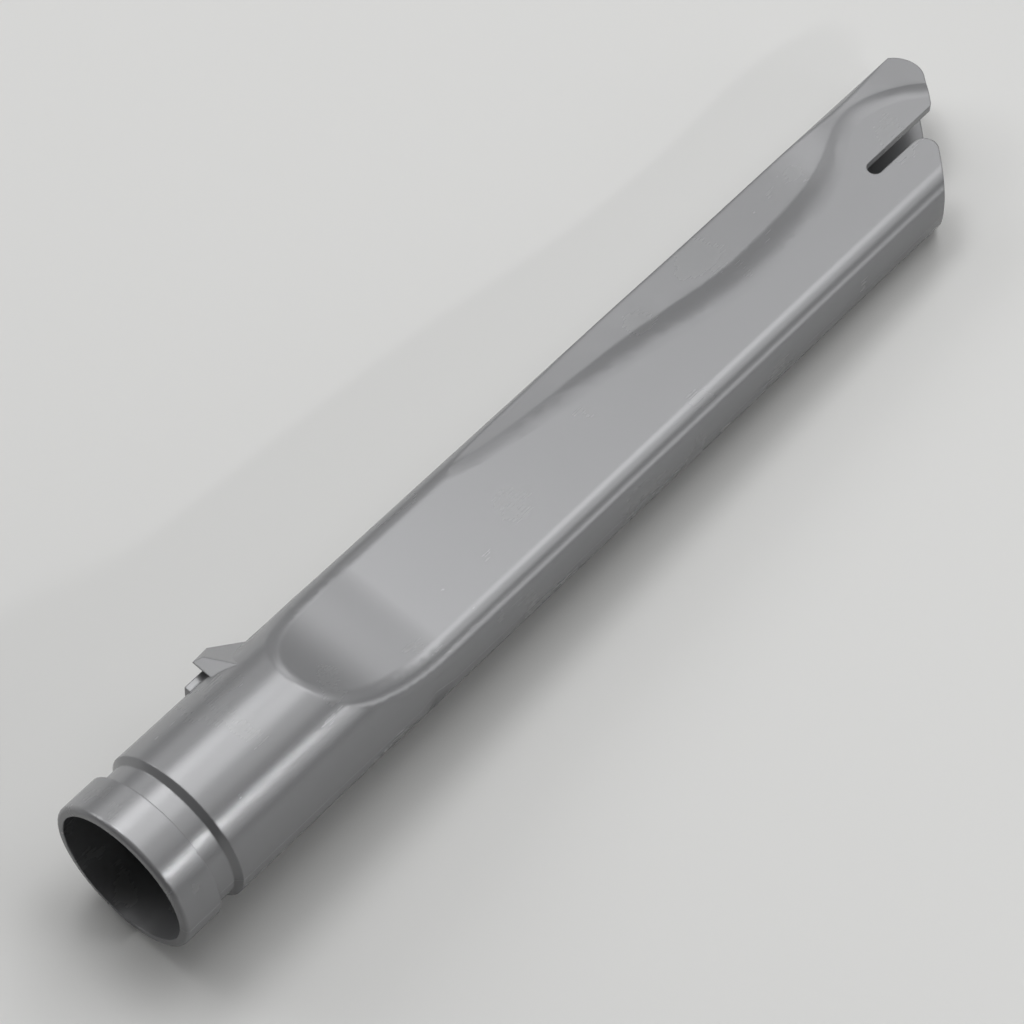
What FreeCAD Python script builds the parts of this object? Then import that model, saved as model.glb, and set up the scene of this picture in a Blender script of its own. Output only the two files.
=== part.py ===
import FreeCAD, Part
import math
import os

import Sketcher
from FreeCAD import Placement, Rotation, Vector

# A one-piece moulded crevice nozzle. Its own X axis runs from the mouth to the tip, +Y is the
# side with the catch and the scallop, and the mould parts on the level plane of that axis.
# The finished piece is then tipped until it lies on its barrel and its tip, as on a table.

doc = FreeCAD.newDocument("nozzle")
sheet = doc.addObject("Spreadsheet::Sheet", "Sizes")
sheet.Label = "sizes"

# Driving dimensions in millimetres, and angles in degrees.
drivingSizes = [
    ("overall_length", 250.5, "mouth rim to the far end of the tip"),
    ("collar_radius", 17.5, "outside of the collar"),
    ("collar_length", 9.3, "rim to the back step of the collar"),
    ("rim_round", 1.0, "rounding of the outer rim"),
    ("groove_radius", 16.1, "floor of the snap groove"),
    ("groove_length", 5.0, "back step of the collar to the shoulder"),
    ("shoulder_length", 1.3, "cone from the groove floor up to the barrel"),
    ("barrel_radius", 17.45, "outside of the barrel, behind the shoulder"),
    ("tip_radius", 16.65, "half width of the body at the far end"),
    ("scoop_start", 47.5, "rim to where the scoop leaves the barrel"),
    ("scoop_length", 29.5, "scoop, from the barrel to the flat"),
    ("root_half", 8.7, "axis to the flat, at the end of the scoop"),
    ("tip_half", 8.0, "axis to the flat, at the far end"),
    ("flat_round", 5.5, "rounding between the flats and the sides"),
    ("mouth_radius", 15.5, "bore at the rim"),
    ("lead_length", 9.0, "tapered lead-in of the bore"),
    ("bore_radius", 14.4, "bore behind the lead-in"),
    ("duct_tip_radius", 14.0, "half width of the duct at the far end"),
    ("wall", 2.0, "wall under the flats"),
    ("duct_bevel", 2.0, "bevel along the inside of the duct"),
    ("end_slant", 42.4, "slant of the end cut"),
    ("end_round", 6.2, "large corner of the end cut"),
    ("end_round_offset", 10.9, "axis to the centre of that corner"),
    ("slot_length", 30.0, "slot in the top wall, closed end to the far end"),
    ("slot_width", 3.4, "width of the slot"),
    ("slot_offset", 1.65, "axis to the middle of the slot"),
    ("prong_round", 3.0, "sharp corner between the slot and the end cut"),
    ("blunt_round", 1.2, "blunt corner between the slot and the end cut"),
    ("scallop_length", 156.5, "far end of the tip to the first station of the scallop"),
    ("scallop_reach", 16.5, "axis to the crease at that station"),
    ("scallop_depth", 2.4, "greatest depth of the crease below the flat"),
    ("scallop_roll", 18.0, "radius of the roll down into the scallop"),
    ("scallop_lip", 0.02, "the roll tops out this far above the flat, so that the two cross"),
    ("scallop_foot", 3.0, "radius of the hollow at the foot of that roll"),
    ("scallop_fall", 9.0, "fall of the scallop floor towards the side"),
    ("rib_start", 36.0, "rim to the front of the small rib"),
    ("rib_length", 6.0, "length of the rib"),
    ("rib_reach", 17.6, "axis to the outer face of the rib"),
    ("rib_height", 6.5, "axis to the top of the rib"),
    ("catch_start", 40.2, "rim to the front corner of the catch"),
    ("overrun", 6.0, "how far cutting outlines run past the solid"),
    ("match", 0.01, "points closer than this are the same point"),
]
# Corners of the catch: distance behind its front corner, from the axis sideways, and upwards.
# A corner without its third number takes its height from the plane of its faces.
catchCorners = {
    "front": (0, 19.5, 8.5),
    "peak": (1.8, 18.4),
    "back": (5.4, 20.9),
    "root": (-1.2, 11.5, 11.6),
    "ridge": (4.3, 7.3, 15.6),
    "tail": (14.5, 16.0, 3.3),
    "foot": (3.3, 20.36),
}
# The scallop's crease, station by station, as shares of its length, reach and depth. The shares run
# back from the far end, out from the axis and down from the flat. The first and the last stations
# lie outside the solid.
scallopCourse = [
    (1.0, 1.0, 0.125),
    (0.923, 0.818, 0.146),
    (0.783, 0.642, 0.333),
    (0.642, 0.545, 0.625),
    (0.527, 0.418, 0.958),
    (0.425, 0.303, 1.0),
    (0.335, 0.315, 0.917),
    (0.252, 0.388, 0.708),
    (0.201, 0.539, 0.458),
    (0.15, 0.733, 0.333),
    (0.112, 0.727, 0.333),
    (0.067, 0.576, 0.417),
    (0.022, 0.291, 0.5),
    (-0.035, -0.212, 0.583),
]
for corner, place in catchCorners.items():
    for direction, value in zip(("along", "out", "up"), place):
        drivingSizes.append((f"catch_{corner}_{direction}", value, f"{corner} corner of the catch"))
creaseWays = (("back", "scallop_length"), ("out", "scallop_reach"), ("depth", "scallop_depth"))
for station, shares in enumerate(scallopCourse, start=1):
    for (direction, whole), share in zip(creaseWays, shares):
        drivingSizes.append((f"crease_{direction}_{station}", f"={whole} * {share}", f"crease, station {station}"))

# Sizes that follow from the driving ones.
derivedSizes = [
    ("groove_end", "=collar_length + groove_length", "end of the groove floor"),
    ("shoulder_end", "=groove_end + shoulder_length", "start of the barrel"),
    ("scoop_end", "=scoop_start + scoop_length", "start of the flat"),
    ("rim_face_radius", "=collar_radius - rim_round", "outer edge of the flat rim"),
    ("blank_end", "=overall_length + overrun", "end of the blank, before the end cut"),
    ("past_end", "=blank_end + overrun", "end of the cutting outlines"),
    ("side_fall", "=(barrel_radius - tip_radius) / (overall_length - shoulder_end)", "taper of the sides"),
    ("scoop_radius_start", "=barrel_radius - side_fall * (scoop_start - shoulder_end)", "barrel at the scoop"),
    ("scoop_rise", "=scoop_radius_start - root_half", "depth of the scoop"),
    ("scoop_radius", "=(scoop_length ^ 2 + scoop_rise ^ 2) / (2 * scoop_rise)", "radius of the scoop"),
    ("flat_fall", "=(root_half - tip_half) / (overall_length - scoop_end)", "taper of a flat"),
    ("blank_radius", "=tip_radius - side_fall * overrun", "radius at the end of the blank"),
    ("past_half", "=tip_half - flat_fall * 2 * overrun", "flat at the end of its outline"),
    ("clear_radius", "=collar_radius + overrun", "outlines pass the solid here"),
    ("clear_rise", "=clear_radius - root_half", "flat to the top of the outlines"),
    ("scoop_top", "=scoop_end - sqrt(2 * scoop_radius * clear_rise - clear_rise ^ 2)", "top of that outline"),
    ("duct_fall", "=(bore_radius - duct_tip_radius) / (overall_length - lead_length)", "taper of the bore"),
    ("duct_past_radius", "=duct_tip_radius - duct_fall * 2 * overrun", "half width of the bore past the end"),
    ("duct_root", "=root_half - wall", "axis to the duct's ceiling at the root"),
    ("duct_past", "=past_half - wall", "axis to the duct's ceiling past the end"),
    ("duct_clear", "=clear_radius - wall", "the duct's outlines pass the bore here"),
    ("duct_rise", "=duct_clear - duct_root", "duct's ceiling to the top of its outlines"),
    ("duct_scoop", "=scoop_radius + wall", "radius of the scoop inside the duct"),
    ("duct_top", "=scoop_end - sqrt(2 * duct_scoop * duct_rise - duct_rise ^ 2)", "top of that outline"),
    ("end_centre", "=overall_length - end_round", "centre of the large end corner"),
    ("end_round_top", "=end_round_offset + end_round", "far side of that corner"),
    ("slant_x", "=end_centre + end_round * cos(end_slant)", "where the slant meets that corner"),
    ("slant_drop", "=end_round * sin(end_slant) - end_round_offset", "that meeting, from the axis"),
    ("slant_foot", "=slant_x - (clear_radius - slant_drop) * tan(end_slant)", "where the slant leaves the side"),
    ("slot_centre", "=overall_length - slot_length + slot_width / 2", "centre of the slot's closed end"),
    ("slot_near", "=slot_offset + slot_width / 2", "axis to the near side of the slot"),
    ("slot_far", "=slot_width / 2 - slot_offset", "axis to the far side of the slot"),
    ("rib_width", "=rib_reach - bore_radius + wall", "rib, from inside the bore to its outer face"),
]
for row, (name, value, note) in enumerate(drivingSizes + derivedSizes, start=1):
    sheet.set(f"A{row}", note)
    sheet.set(f"B{row}", str(value))
    sheet.setAlias(f"B{row}", name)
doc.recompute()


def size(name):
    """Value of a size; a leading minus mirrors it, and 0 is an axis."""
    if name == "0":
        return 0.0
    if name.startswith("-"):
        return -size(name[1:])
    return float(getattr(sheet, name))


def expression(name):
    return f"-Sizes.{name[1:]}" if name.startswith("-") else f"Sizes.{name}"


def addSketch(body, name, role):
    plane = next(item for item in body.Origin.OriginFeatures if item.Role == role)
    sketch = body.newObject("Sketcher::SketchObject", name)
    sketch.AttachmentSupport = [(plane, "")]
    sketch.MapMode = "FlatFace"
    return sketch


def bindPoint(sketch, geometry, position, across, up):
    """Ties a sketch point to the cells for its two coordinates."""
    for kind, axis, cell in (("DistanceX", -2, across), ("DistanceY", -1, up)):
        if cell is None:
            continue
        if cell == "0":
            sketch.addConstraint(Sketcher.Constraint("PointOnObject", geometry, position, axis))
            continue
        index = sketch.addConstraint(Sketcher.Constraint(kind, -1, 1, geometry, position, size(cell)))
        sketch.setExpression(f"Constraints[{index}]", expression(cell))


def addOutline(sketch, corners):
    """A closed outline. A corner is (x, y), or (x, y, centre x, turn) where an arc starts there."""
    ends = []
    for index, corner in enumerate(corners):
        following = corners[(index + 1) % len(corners)]
        start = Vector(size(corner[0]), size(corner[1]), 0)
        stop = Vector(size(following[0]), size(following[1]), 0)
        if len(corner) == 2:
            geometry = sketch.addGeometry(Part.LineSegment(start, stop), False)
            ends.append((geometry, 1, 2))
            continue
        centreX = size(corner[2])
        rise = (start.x - centreX) ** 2 - (stop.x - centreX) ** 2 + start.y ** 2 - stop.y ** 2
        centre = Vector(centreX, rise / (2 * (start.y - stop.y)), 0)
        first, last = (start, stop) if corner[3] == "left" else (stop, start)
        angles = [math.atan2(point.y - centre.y, point.x - centre.x) for point in (first, last)]
        circle = Part.Circle(centre, Vector(0, 0, 1), (start - centre).Length)
        geometry = sketch.addGeometry(Part.ArcOfCircle(circle, angles[0], angles[1]), False)
        ends.append((geometry, 1, 2) if corner[3] == "left" else (geometry, 2, 1))
    for index, (geometry, start, stop) in enumerate(ends):
        following = ends[(index + 1) % len(ends)]
        sketch.addConstraint(Sketcher.Constraint("Coincident", geometry, stop, following[0], following[1]))
    for (geometry, start, stop), corner in zip(ends, corners):
        bindPoint(sketch, geometry, start, corner[0], corner[1])
        if len(corner) > 2:
            bindPoint(sketch, geometry, 3, corner[2], None)


def addRevolution(body, name, corners):
    sketch = addSketch(body, f"{name}Profile", "XY_Plane")
    addOutline(sketch, corners)
    turned = body.newObject("PartDesign::Revolution", name)
    turned.Profile = sketch
    turned.ReferenceAxis = (sketch, ["H_Axis"])
    turned.Angle = 360
    return turned


def addPocket(body, name, role, outlines, upwards=False):
    """Cuts outlines through the body: both ways from their plane, or only upwards."""
    sketch = addSketch(body, f"{name}Outline", role)
    for corners in outlines:
        addOutline(sketch, corners)
    pocket = body.newObject("PartDesign::Pocket", name)
    pocket.Profile = sketch
    pocket.Type = "ThroughAll"
    if upwards:
        pocket.Reversed = True
    else:
        pocket.SideType = "Symmetric"
    return pocket


def addFillet(body, name, base, cell, chosen, kind="Fillet"):
    """Rounds or bevels the edges of the base that the test picks."""
    doc.recompute()
    edges = [f"Edge{index}" for index, edge in enumerate(base.Shape.Edges, start=1) if chosen(edge)]
    dressed = body.newObject(f"PartDesign::{kind}", name)
    dressed.Base = (base, edges)
    dressed.setExpression("Radius" if kind == "Fillet" else "Size", f"Sizes.{cell}")
    return dressed


def flats(top, rise, root, past):
    """Outlines above and below the axis that turn a round blank into a scooped, flat body."""
    upper = [
        (top, rise, "scoop_end", "left"),
        ("scoop_end", root),
        ("past_end", past),
        ("past_end", rise),
    ]
    lower = [
        (top, f"-{rise}", "scoop_end", "right"),
        ("scoop_end", f"-{root}"),
        ("past_end", f"-{past}"),
        ("past_end", f"-{rise}"),
    ]
    return [upper, lower]


def cornerEdge(start, stop):
    """Picks the four edges between the flats or scoops and the sides, from start to stop."""
    def chosen(edge):
        point = edge.valueAt((edge.FirstParameter + edge.LastParameter) / 2)
        offAxis = min(abs(point.y), abs(point.z)) > size("wall")
        return offAxis and size(start) < point.x < size(stop) - size("wall")
    return chosen


def slotCorner(side):
    """Picks the upright edge where one side of the slot meets the end cut."""
    def chosen(edge):
        ends = [vertex.Point for vertex in edge.Vertexes]
        upright = len(ends) == 2 and (ends[1] - ends[0]).cross(Vector(0, 0, 1)).Length < size("match")
        beside = abs(ends[0].y - size(side)) < size("match")
        return upright and beside and ends[0].x > size("slot_centre") + size("match")
    return chosen


# Outer form: a turned blank, flattened above and below, rounded along the flats, with a
# slanted end and a slot that opens in the top wall only.
outer = doc.addObject("PartDesign::Body", "OuterForm")
outer.Label = "outer form"
addRevolution(outer, "Blank", [
    ("0", "0"),
    ("0", "rim_face_radius", "rim_round", "right"),
    ("rim_round", "collar_radius"),
    ("collar_length", "collar_radius"),
    ("collar_length", "groove_radius"),
    ("groove_end", "groove_radius"),
    ("shoulder_end", "barrel_radius"),
    ("blank_end", "blank_radius"),
    ("blank_end", "0"),
])
scooped = addPocket(outer, "Flats", "XZ_Plane", flats("scoop_top", "clear_radius", "root_half", "past_half"))
addFillet(outer, "FlatRounds", scooped, "flat_round", cornerEdge("scoop_start", "blank_end"))
addPocket(outer, "EndCut", "XY_Plane", [[
    ("slant_foot", "-clear_radius"),
    ("slant_x", "-slant_drop", "end_centre", "left"),
    ("end_centre", "end_round_top"),
    ("end_centre", "clear_radius"),
    ("past_end", "clear_radius"),
    ("past_end", "-clear_radius"),
]])
slotted = addPocket(outer, "Slot", "XY_Plane", [[
    ("slot_centre", "slot_far", "slot_centre", "left"),
    ("slot_centre", "-slot_near"),
    ("past_end", "-slot_near"),
    ("past_end", "slot_far"),
]], upwards=True)
pronged = addFillet(outer, "SharpCorner", slotted, "prong_round", slotCorner("-slot_near"))
addFillet(outer, "BluntCorner", pronged, "blunt_round", slotCorner("slot_far"))

# Duct: a tapered bore, flattened like the outside but one wall further in.
duct = doc.addObject("PartDesign::Body", "DuctForm")
duct.Label = "duct form"
addRevolution(duct, "Bore", [
    ("-overrun", "0"),
    ("-overrun", "mouth_radius"),
    ("0", "mouth_radius"),
    ("lead_length", "bore_radius"),
    ("past_end", "duct_past_radius"),
    ("past_end", "0"),
])
ceilings = addPocket(duct, "Ceilings", "XZ_Plane", flats("duct_top", "duct_clear", "duct_root", "duct_past"))
addFillet(duct, "DuctBevels", ceilings, "duct_bevel", cornerEdge("duct_top", "past_end"), kind="Chamfer")
doc.recompute()


def scallopSection(station, sunk):
    """Section of the wavy step at one station, sunk square to its own surface by some depth."""
    along = size("overall_length") - size(f"crease_back_{station}")
    level = size("root_half") - size("flat_fall") * (along - size("scoop_end"))
    roll = size("scallop_roll")
    foot = size("scallop_foot")
    fall = math.radians(size("scallop_fall"))
    steep = math.acos(1 - (size(f"crease_depth_{station}") + size("scallop_lip")) / roll)

    def outward(angle):
        return Vector(0, math.sin(angle), math.cos(angle))

    crease = Vector(along, size(f"crease_out_{station}"), level - size(f"crease_depth_{station}"))
    rollCentre = crease - outward(steep) * roll
    footCentre = crease + outward(steep) * foot
    brow = rollCentre + outward(0) * (roll - sunk)
    rollMiddle = rollCentre + outward(steep / 2) * (roll - sunk)
    foldPoint = rollCentre + outward(steep) * (roll - sunk)
    footMiddle = footCentre - outward((steep + fall) / 2) * (foot + sunk)
    toe = footCentre - outward(fall) * (foot + sunk)
    reach = size("clear_radius")
    rim = Vector(along, reach, toe.z - (reach - toe.y) * math.tan(fall))
    rimTop = Vector(along, reach, reach)
    browTop = Vector(along, brow.y, reach)
    return Part.Wire([
        Part.Arc(brow, rollMiddle, foldPoint).toShape(),
        Part.Arc(foldPoint, footMiddle, toe).toShape(),
        Part.LineSegment(toe, rim).toShape(),
        Part.LineSegment(rim, rimTop).toShape(),
        Part.LineSegment(rimTop, browTop).toShape(),
        Part.LineSegment(browTop, brow).toShape(),
    ])


def addScallop(name, label, sunk):
    """The space above the scallop, lofted smoothly through its stations."""
    stations = range(1, len(scallopCourse) + 1)
    form = doc.addObject("Part::Feature", name)
    form.Label = label
    form.Shape = Part.makeLoft([scallopSection(station, sunk) for station in stations], True, False)
    form.Placement = Placement()
    return form


def addCut(name, label, base, tool):
    remains = doc.addObject("Part::Cut", name)
    remains.Label = label
    remains.Base = base
    remains.Tool = tool
    doc.recompute()
    return remains


scallop = addScallop("ScallopForm", "scallop form", 0)
relief = addScallop("ReliefForm", "scallop form inside the duct", size("wall"))
scalloped = addCut("ScallopedForm", "outer form with its scallop", outer, scallop)
core = addCut("DuctCore", "duct with its relief", duct, relief)

rib = doc.addObject("Part::Box", "Rib")
rib.Label = "small rib"
rib.setExpression("Length", "Sizes.rib_length")
rib.setExpression("Width", "Sizes.rib_width")
rib.setExpression("Height", "Sizes.rib_height")
rib.setExpression("Placement.Base.x", "Sizes.rib_start")
rib.setExpression("Placement.Base.y", "Sizes.rib_reach - Sizes.rib_width")


def catchPoint(corner, up=None):
    """A corner of the catch, at its own height or at the one given."""
    along = size("catch_start") + size(f"catch_{corner}_along")
    height = size(f"catch_{corner}_up") if up is None else up
    return Vector(along, size(f"catch_{corner}_out"), height)


def onPlane(corner, plane):
    """A corner of the catch at the height where it meets the plane of three points."""
    normal = (plane[1] - plane[0]).cross(plane[2] - plane[0])
    level = catchPoint(corner, 0)
    return level + Vector(0, 0, normal.dot(plane[0] - level) / normal.z)


def below(point):
    return Vector(point.x, point.y, 0)


# Catch: a faceted lug on the upper half of the barrel, with its flat underside on the axis.
front = catchPoint("front")
root = catchPoint("root")
ridge = catchPoint("ridge")
tail = catchPoint("tail")
peak = onPlane("peak", (front, root, ridge))
back = onPlane("back", (peak, ridge, tail))
foot = catchPoint("foot", 0)
catchFaces = [
    (front, peak, ridge, root),
    (peak, back, tail, ridge),
    (front, back, peak),
    (front, foot, back),
    (foot, below(back), back),
    (back, below(back), below(tail), tail),
    (root, ridge, tail),
    (root, tail, below(tail)),
    (root, below(tail), below(root)),
    (front, root, foot),
    (root, below(root), foot),
    (foot, below(root), below(tail), below(back)),
]
shell = Part.makeShell([Part.Face(Part.makePolygon(list(points) + [points[0]])) for points in catchFaces])
catch = doc.addObject("Part::Feature", "Catch")
catch.Label = "faceted catch"
catch.Shape = Part.makeSolid(shell)
catch.Placement = Placement()

joined = doc.addObject("Part::MultiFuse", "ClosedForm")
joined.Label = "closed form"
joined.Shapes = [scalloped, rib, catch]
nozzle = addCut("NozzleBody", "nozzle_body", joined, core)


def restPlane():
    """Slopes along X and Y of the plane under the barrel's edge and both ends of the slanted end."""
    farEnd = Vector(size("overall_length"), size("end_round_offset"), -size("tip_half"))
    inner = size("tip_radius") - size("flat_round")
    slantRun = (inner - size("slant_drop")) * math.tan(math.radians(size("end_slant")))
    nearEnd = Vector(size("slant_x") - slantRun, -inner, -size("tip_half"))
    nearEnd.z -= size("flat_fall") * (farEnd.x - nearEnd.x)
    barrel = Vector(size("scoop_start"), 0, -size("scoop_radius_start"))
    normal = (farEnd - barrel).cross(nearEnd - barrel)
    for settling in range(3):
        normal = normal * (1 / normal.z)
        outwards = Vector(0, normal.y, normal.z).normalize() * size("scoop_radius_start")
        barrel = Vector(size("scoop_start"), -outwards.y, -outwards.z)
        normal = (farEnd - barrel).cross(nearEnd - barrel)
    return normal if normal.z > 0 else -normal


# Lay the nozzle down, with the middle of its underside at the origin.
turned = Rotation(restPlane(), Vector(0, 0, 1))
nozzle.Placement = Placement(Vector(), turned)
box = nozzle.Shape.optimalBoundingBox(True, False)
nozzle.Placement = Placement(Vector(-box.Center.x, -box.Center.y, -box.ZMin), turned)
doc.recompute()

for item in doc.Objects:
    if "Invalid" in item.State or "Error" in item.State:
        raise SystemExit(f"{item.Label} did not build: {item.State}")
    if hasattr(item, "Shape") and item.TypeId != "Sketcher::SketchObject":
        if item.Shape.isNull() or not item.Shape.isValid():
            raise SystemExit(f"{item.Label} has no valid shape")
if len(nozzle.Shape.Solids) != 1:
    raise SystemExit(f"the nozzle fell into {len(nozzle.Shape.Solids)} solids")

os.makedirs("parts", exist_ok=True)
nozzle.Shape.exportStep("parts/nozzle_body.step")
print("volume", round(nozzle.Shape.Volume), "placed", nozzle.Placement)
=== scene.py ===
import math
import bpy
from mathutils import Euler, Matrix, Vector


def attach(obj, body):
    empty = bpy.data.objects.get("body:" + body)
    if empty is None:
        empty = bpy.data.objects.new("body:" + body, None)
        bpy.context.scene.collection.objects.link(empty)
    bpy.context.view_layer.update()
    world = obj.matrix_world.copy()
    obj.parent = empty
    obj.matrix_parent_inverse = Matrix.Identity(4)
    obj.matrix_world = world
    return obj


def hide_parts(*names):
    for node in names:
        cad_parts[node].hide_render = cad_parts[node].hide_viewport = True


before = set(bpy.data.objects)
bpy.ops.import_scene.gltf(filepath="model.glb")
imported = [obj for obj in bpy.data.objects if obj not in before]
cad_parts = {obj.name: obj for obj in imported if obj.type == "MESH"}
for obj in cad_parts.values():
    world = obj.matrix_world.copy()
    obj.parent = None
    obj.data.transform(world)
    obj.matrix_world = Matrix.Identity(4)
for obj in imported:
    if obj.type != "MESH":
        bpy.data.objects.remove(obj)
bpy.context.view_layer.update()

# The nozzle lies on a pale floor. +X runs from the mouth to the tip, +Y to the side with the catch.
scene = bpy.context.scene
scene.view_settings.view_transform = "Standard"

perMetre = 1000   # millimetres


def millimetres(value):
    return value / perMetre


# The body. Its sizes are in mm, along and out from its own axis, which starts at the mouth.
nozzle = {
    "mouth": (-0.124842, -0.00171328, 0.0196756),   # metres, where the middle of the mouth lies
    "turned": (2.04805, 2.74584, 0.0490899),        # degrees, how the nozzle lies on barrel and tip
    "length": 250.5,
    "rim": (1.0, 16.5, 1.0),        # middle of the rim's rounding, along and out, and its radius
    "bands": [                      # collar, groove and shoulder: start, radius, end, radius
        (1.0, 17.5, 9.3, 17.5),
        (9.3, 16.1, 14.3, 16.1),
        (14.3, 16.1, 15.6, 17.45),
    ],
    "barrel": (15.6, 17.45, 250.5, 16.65),
    "bore": [
        (0.0, 15.5, 9.0, 14.4),
        (9.0, 14.4, 250.5, 14.0),
    ],
    "scoopStart": 47.5,
    "scoopEnd": 77.0,
    "flat": (8.7, 8.0),             # axis to the flat, at the scoop's end and at the tip
    "flatRound": 5.5,
    "roundLead": 1.0,               # the flat's rounding starts this far before the scoop's end
    "mergeDistance": 0.004,
    "sharpAngle": 19,               # degrees, edges flatter than this are smoothed
    "closeEnough": 0.012,           # a facet this near to a moulded surface lies on it
    "alikeEnough": 0.95,            # and faces its way, 1 is exactly
    "edgeRounding": 0.4,            # softens the light on every moulded edge
    "browRounding": 1.1,            # the same along the outer edge of the scallop
    "browSide": (9, 11),            # it comes in between these, out from the axis
    "browStart": (90, 140),         # and between these, along the axis
    "browEnd": (246, 242),          # it goes again from the second to the first
    "colour": (0.268, 0.270, 0.276),
    "metallic": 0.3,
    "roughness": 0.27,
    "roughnessSpread": 0.02,
    "cloudScale": 60,               # patches of the finish, to the metre
    "cloudDetail": 4,
    "streakSize": (16, 0.5, 0.5),   # faint marks of handling
    "streakDetail": 3,
    "streakShare": 0.15,
    "grainSize": 0.16,
    "grainDetail": 2,
    "grainDepth": 0.0025,
    "flashWidth": 0.22,             # line of flash where the mould parts
    "flashHeight": 0.10,
    # painted highlight: the flash line's colour is lightened as if its thin ridge caught the light
    "flashHighlightColour": (0.5, 0.5, 0.51),
    "flashHighlightShare": 0.6,
    "bevelSamples": 6,
}
lieTurn = [math.radians(turn) for turn in nozzle["turned"]]


def copyNode(node, name):
    bpy.ops.object.select_all(action="DESELECT")
    node.select_set(True)
    bpy.context.view_layer.objects.active = node
    bpy.ops.object.duplicate()
    piece = bpy.context.active_object
    piece.name = name
    piece.data.name = name
    return piece


def weldPiece(piece):
    weld = piece.modifiers.new("weld", "WELD")
    weld.merge_threshold = millimetres(nozzle["mergeDistance"])
    bpy.ops.object.modifier_apply(modifier=weld.name)


def smoothPiece(piece):
    bpy.ops.mesh.customdata_custom_splitnormals_clear()
    bpy.ops.object.shade_smooth_by_angle(angle=math.radians(nozzle["sharpAngle"]))
    weighted = piece.modifiers.new("weighted", "WEIGHTED_NORMAL")
    weighted.mode = "FACE_AREA_WITH_ANGLE"
    weighted.keep_sharp = True
    bpy.ops.object.modifier_apply(modifier=weighted.name)


# Each surface tells how far off a point is, in mm, and which way the surface faces there.
def bandSurface(band, outwards):
    start, startRadius, end, endRadius = band
    slope = (endRadius - startRadius) / (end - start)

    def surface(point):
        radius = math.hypot(point.y, point.z)
        normal = Vector((-slope, point.y / radius, point.z / radius)).normalized()
        return radius - startRadius - slope * (point.x - start), normal * outwards
    return surface


def rimSurface(along, out, rounding):
    def surface(point):
        radius = math.hypot(point.y, point.z)
        up = radius - out
        normal = Vector((point.x - along, up * point.y / radius, up * point.z / radius))
        return normal.length - rounding, normal.normalized()
    return surface


def barrelRadius(along):
    start, startRadius, end, endRadius = nozzle["barrel"]
    return startRadius + (endRadius - startRadius) * (along - start) / (end - start)


def scoopSurface(side):
    level = nozzle["flat"][0]
    run = nozzle["scoopEnd"] - nozzle["scoopStart"]
    rise = barrelRadius(nozzle["scoopStart"]) - level
    radius = (run ** 2 + rise ** 2) / (2 * rise)
    centre = Vector((nozzle["scoopEnd"], 0, side * (level + radius)))

    def surface(point):
        inwards = centre - Vector((point.x, 0, point.z))
        return inwards.length - radius, inwards.normalized()
    return surface


def flatSurface(side):
    root, tip = nozzle["flat"]
    fall = (root - tip) / (nozzle["length"] - nozzle["scoopEnd"])

    def surface(point):
        level = root - fall * (point.x - nozzle["scoopEnd"])
        return point.z * side - level, Vector((fall, 0, side)).normalized()
    return surface


def roundSurface(sideY, sideZ):
    # the rounding between a flat and a side rolls about one straight line
    rounding = nozzle["flatRound"]
    ends = []
    for along, level in zip((nozzle["scoopEnd"], nozzle["length"]), nozzle["flat"]):
        reach = barrelRadius(along) - rounding
        up = level - rounding
        ends.append(Vector((along, sideY * math.sqrt(reach ** 2 - up ** 2), sideZ * up)))
    direction = (ends[1] - ends[0]).normalized()

    def surface(point):
        if point.x < nozzle["scoopEnd"] - nozzle["roundLead"]:
            return math.inf, direction
        offset = point - ends[0]
        offset -= direction * offset.dot(direction)
        return offset.length - rounding, offset.normalized()
    return surface


def trueNormals(piece):
    # gives each corner the normal of the moulded surface that its facet lies on
    surfaces = [flatSurface(1), flatSurface(-1), scoopSurface(1), scoopSurface(-1)]
    surfaces.append(rimSurface(*nozzle["rim"]))
    surfaces += [roundSurface(sideY, sideZ) for sideY in (1, -1) for sideZ in (1, -1)]
    surfaces += [bandSurface(band, 1) for band in nozzle["bands"] + [nozzle["barrel"]]]
    surfaces += [bandSurface(band, -1) for band in nozzle["bore"]]
    turned = Euler(lieTurn).to_matrix()
    mouth = Vector(nozzle["mouth"])
    mesh = piece.data
    points = [(vertex.co - mouth) @ turned * perMetre for vertex in mesh.vertices]
    normals = [corner.vector.copy() for corner in mesh.corner_normals]
    fitted = 0
    for face in mesh.polygons:
        facing = face.normal @ turned
        corners = [points[index] for index in face.vertices]
        middle = sum(corners, Vector()) / len(corners)
        for surface in surfaces:
            if surface(middle)[1].dot(facing) < nozzle["alikeEnough"]:
                continue
            if max(abs(surface(corner)[0]) for corner in corners) > nozzle["closeEnough"]:
                continue
            for loop, corner in zip(face.loop_indices, corners):
                normals[loop] = turned @ surface(corner)[1]
            fitted += 1
            break
    mesh.normals_split_custom_set(normals)
    print("true normals on", fitted, "of", len(mesh.polygons), "facets")


def addNode(tree, kind, place, **values):
    node = tree.nodes.new(kind)
    node.location = place
    for name, value in values.items():
        setattr(node, name, value)
    return node


def addMath(tree, operation, place, first, second=None):
    node = addNode(tree, "ShaderNodeMath", place, operation=operation)
    for socket, value in zip(node.inputs, (first, second)):
        if value is None:
            continue
        if isinstance(value, (int, float)):
            socket.default_value = value
        else:
            tree.links.new(value, socket)
    return node.outputs[0]


def addRange(tree, place, value, start, end, low=0, high=1):
    node = addNode(tree, "ShaderNodeMapRange", place)
    node.inputs["From Min"].default_value = start
    node.inputs["From Max"].default_value = end
    node.inputs["To Min"].default_value = low
    node.inputs["To Max"].default_value = high
    tree.links.new(value, node.inputs["Value"])
    return node


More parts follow.
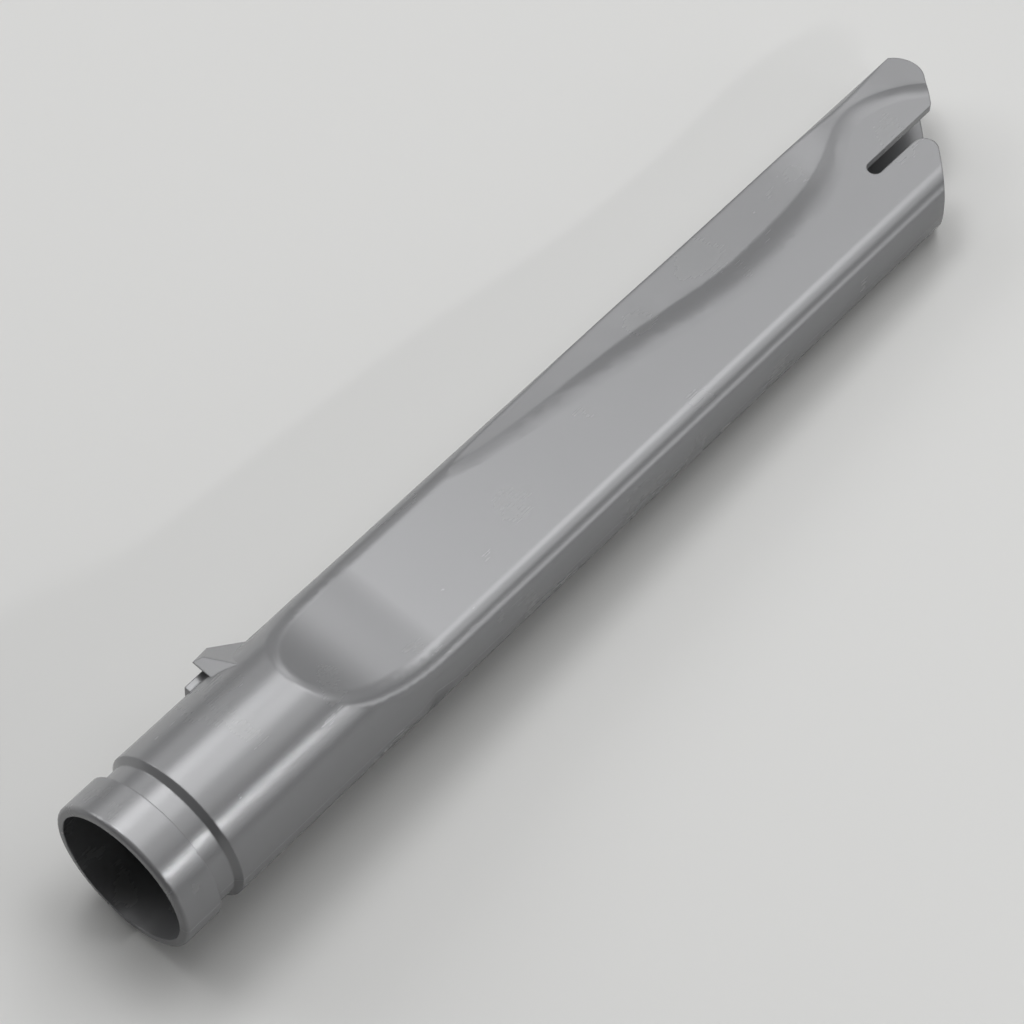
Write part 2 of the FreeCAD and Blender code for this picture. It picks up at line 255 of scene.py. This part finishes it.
def addNoise(tree, place, where, scale, detail):
    node = addNode(tree, "ShaderNodeTexNoise", place)
    node.inputs["Scale"].default_value = scale
    node.inputs["Detail"].default_value = detail
    tree.links.new(where, node.inputs["Vector"])
    return node.outputs["Fac"]


def addBump(tree, place, height, distance, normal):
    node = addNode(tree, "ShaderNodeBump", place)
    node.inputs["Distance"].default_value = distance
    tree.links.new(height, node.inputs["Height"])
    tree.links.new(normal, node.inputs["Normal"])
    return node.outputs[0]


def plasticMaterial():
    material = bpy.data.materials.new("satin iron grey")
    material.use_nodes = True
    tree = material.node_tree
    tree.nodes.clear()
    output = addNode(tree, "ShaderNodeOutputMaterial", (900, 0))
    shader = addNode(tree, "ShaderNodeBsdfPrincipled", (600, 0))
    shader.inputs["Metallic"].default_value = nozzle["metallic"]
    tree.links.new(shader.outputs[0], output.inputs[0])
    place = addNode(tree, "ShaderNodeTexCoord", (-1400, 0)).outputs["Object"]

    # the place along, across and up from the nozzle's own axis, in metres
    own = addNode(tree, "ShaderNodeMapping", (-1200, -500), vector_type="TEXTURE")
    own.inputs["Location"].default_value = nozzle["mouth"]
    own.inputs["Rotation"].default_value = lieTurn
    tree.links.new(place, own.inputs[0])
    parts = addNode(tree, "ShaderNodeSeparateXYZ", (-1000, -500))
    tree.links.new(own.outputs[0], parts.inputs[0])

    # a thin ridge at the height where the mould parts, raised by a bump and lightened in colour as
    # a painted highlight
    height = addMath(tree, "ABSOLUTE", (-800, -500), parts.outputs["Z"])
    ridge = addRange(tree, (-600, -500), height, millimetres(nozzle["flashWidth"]) / 2, 0)
    ridge.interpolation_type = "SMOOTHSTEP"

    # clouds, and faint marks that are drawn out along the nozzle, make the gloss uneven
    cloud = addNoise(tree, (-1000, 400), place, nozzle["cloudScale"], nozzle["cloudDetail"])
    drawn = addNode(tree, "ShaderNodeMapping", (-1000, 700))
    drawn.inputs["Scale"].default_value = [1 / millimetres(size) for size in nozzle["streakSize"]]
    tree.links.new(own.outputs[0], drawn.inputs[0])
    streaks = addNoise(tree, (-800, 700), drawn.outputs[0], 1, nozzle["streakDetail"])
    faint = addMath(tree, "MULTIPLY", (-600, 700), streaks, nozzle["streakShare"])
    marks = addMath(tree, "ADD", (-450, 500), cloud, faint)
    glossy = nozzle["roughness"] - nozzle["roughnessSpread"]
    dull = nozzle["roughness"] + nozzle["roughnessSpread"]
    roughness = addRange(tree, (-300, 300), marks, 0, 1 + nozzle["streakShare"], glossy, dull)
    tree.links.new(roughness.outputs[0], shader.inputs["Roughness"])

    # the base colour is lightened along the flash line, a painted highlight where the ridge catches
    # the light
    shade = addNode(tree, "ShaderNodeMixRGB", (-300, 0))
    shade.inputs["Color1"].default_value = (*nozzle["colour"], 1)
    shade.inputs["Color2"].default_value = (*nozzle["flashHighlightColour"], 1)
    glint = addMath(tree, "MULTIPLY", (-450, -200), ridge.outputs[0], nozzle["flashHighlightShare"])
    tree.links.new(glint, shade.inputs["Fac"])
    tree.links.new(shade.outputs[0], shader.inputs["Base Color"])

    # the outer edge of the scallop is rounded more than the rest
    limits = {name: [millimetres(limit) for limit in nozzle[name]]
              for name in ("browSide", "browStart", "browEnd")}
    beside = addRange(tree, (-800, -800), parts.outputs["Y"], *limits["browSide"])
    behind = addRange(tree, (-800, -1000), parts.outputs["X"], *limits["browStart"])
    before = addRange(tree, (-800, -1200), parts.outputs["X"], *limits["browEnd"])
    along = addMath(tree, "MULTIPLY", (-600, -1000), behind.outputs[0], before.outputs[0])
    brow = addMath(tree, "MULTIPLY", (-450, -900), beside.outputs[0], along)
    narrow, wide = millimetres(nozzle["edgeRounding"]), millimetres(nozzle["browRounding"])
    radius = addRange(tree, (-300, -900), brow, 0, 1, narrow, wide)
    rounded = addNode(tree, "ShaderNodeBevel", (-100, -700), samples=nozzle["bevelSamples"])
    tree.links.new(radius.outputs[0], rounded.inputs["Radius"])

    grain = addNoise(tree, (-1000, 100), place, 1 / millimetres(nozzle["grainSize"]),
                     nozzle["grainDetail"])
    flash = addBump(tree, (100, -600), ridge.outputs[0], millimetres(nozzle["flashHeight"]),
                    rounded.outputs[0])
    fine = addBump(tree, (300, -500), grain, millimetres(nozzle["grainDepth"]), flash)
    tree.links.new(fine, shader.inputs["Normal"])
    return material


body = copyNode(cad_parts["nozzle_body"], "nozzle_skin")
weldPiece(body)
smoothPiece(body)
trueNormals(body)
body.data.materials.clear()
body.data.materials.append(plasticMaterial())
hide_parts("nozzle_body")
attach(body, "root")
print("body", len(body.data.polygons), "faces")

# The floor looks pale, also in the gloss of the body, and sends little light back up to its sides.
floorLook = {
    "size": 12.0,                   # metres
    "colour": (0.68, 0.68, 0.67),
    "bounce": (0.2, 0.2, 0.2),
    "roughness": 0.7,
}


def addFloor():
    bpy.ops.mesh.primitive_plane_add(size=floorLook["size"], location=(0, 0, 0))
    floor = bpy.context.active_object
    floor.name = "floor"
    material = bpy.data.materials.new("pale floor")
    material.use_nodes = True
    tree = material.node_tree
    shader = tree.nodes["Principled BSDF"]
    shader.inputs["Roughness"].default_value = floorLook["roughness"]
    rays = addNode(tree, "ShaderNodeLightPath", (-800, 0)).outputs
    seen = addMath(tree, "MAXIMUM", (-600, 0), rays["Is Camera Ray"], rays["Is Glossy Ray"])
    seen = addMath(tree, "MAXIMUM", (-400, 0), seen, rays["Is Transmission Ray"])
    shade = addNode(tree, "ShaderNodeMixRGB", (-200, 0))
    shade.inputs["Color1"].default_value = (*floorLook["bounce"], 1)
    shade.inputs["Color2"].default_value = (*floorLook["colour"], 1)
    tree.links.new(seen, shade.inputs["Fac"])
    tree.links.new(shade.outputs[0], shader.inputs["Base Color"])
    floor.data.materials.append(material)


addFloor()
print("floor")

# Turn is round the nozzle, in degrees from straight up to the near side. Lean is towards the tip.
# Each lamp is a nest of plain ones, so that its edge is soft in the gloss of the body.
# They stand a little apart, because lamps in one plane hide each other's light.
studio = {
    "lamps": [
        {"name": "key", "turn": -25, "lean": 0.13, "size": (0.85, 0.60), "glow": 5.2},
        {"name": "overhead", "turn": 0, "lean": 0.50, "size": (0.95, 0.80), "glow": 2.9},
        {"name": "near", "turn": 28, "lean": 0.50, "size": (0.75, 0.60), "glow": 1.4},
        {"name": "low", "turn": 72, "lean": 0.50, "size": (0.75, 0.45), "glow": 2.0},
        {"name": "tip", "turn": -36, "lean": 0.95, "size": (0.75, 0.60), "glow": 1.7},
        {"name": "window", "turn": -56, "lean": -0.30, "size": (0.75, 0.60), "glow": 2.6},
        {"name": "side", "turn": -56, "lean": 0.10, "size": (0.75, 0.60), "glow": 1.5},
        {"name": "strip", "turn": 60, "lean": 0.25, "size": (0.16, 0.012), "glow": 60.0,
         "away": 0.5, "aim": -0.09},
    ],
    "away": 1.5,                    # metres, as are the lamps' sizes and aims
    "aim": 0,                       # along the nozzle
    "aimHeight": 0.02,
    "nest": (0.65, 1.0, 1.35),      # sizes of a nest's lamps
    "nestGap": 0.01,
    "world": 0.04,
}


def addLamps():
    for look in studio["lamps"]:
        turn = math.radians(look["turn"])
        toward = Vector((look["lean"], -math.sin(turn), math.cos(turn))).normalized()
        alongX = (Vector((1, 0, 0)) - toward * toward.x).normalized()
        facing = Matrix((alongX, toward.cross(alongX), toward)).transposed().to_euler()
        aim = Vector((look.get("aim", studio["aim"]), 0, studio["aimHeight"]))
        width, height = look["size"]
        for layer, share in enumerate(studio["nest"]):
            data = bpy.data.lights.new(f"{look['name']}_{layer}", "AREA")
            data.shape = "RECTANGLE"
            data.size = width * share
            data.size_y = height * share
            data.energy = look["glow"] / len(studio["nest"]) * math.pi * width * height
            lamp = bpy.data.objects.new(data.name, data)
            away = look.get("away", studio["away"]) + studio["nestGap"] * layer
            lamp.location = aim + toward * away
            lamp.rotation_euler = facing
            scene.collection.objects.link(lamp)


def addWorld():
    world = bpy.data.worlds.new("studio")
    world.use_nodes = True
    background = world.node_tree.nodes["Background"]
    background.inputs["Color"].default_value = (1, 1, 1, 1)
    background.inputs["Strength"].default_value = studio["world"]
    scene.world = world


addLamps()
addWorld()
print("light")

cameraLook = {
    "location": (-0.380975, -0.366314, 0.863380),   # metres
    "rotation": (31.3672, 1.7554, -48.1109),        # degrees
    "lens": 175.04,                                 # mm
    "sensor": 36,                                   # mm
}


def addCamera():
    data = bpy.data.cameras.new("camera")
    data.lens = cameraLook["lens"]
    data.sensor_width = cameraLook["sensor"]
    camera = bpy.data.objects.new("camera", data)
    camera.location = cameraLook["location"]
    camera.rotation_euler = [math.radians(turn) for turn in cameraLook["rotation"]]
    scene.collection.objects.link(camera)
    scene.camera = camera


addCamera()
print("camera")
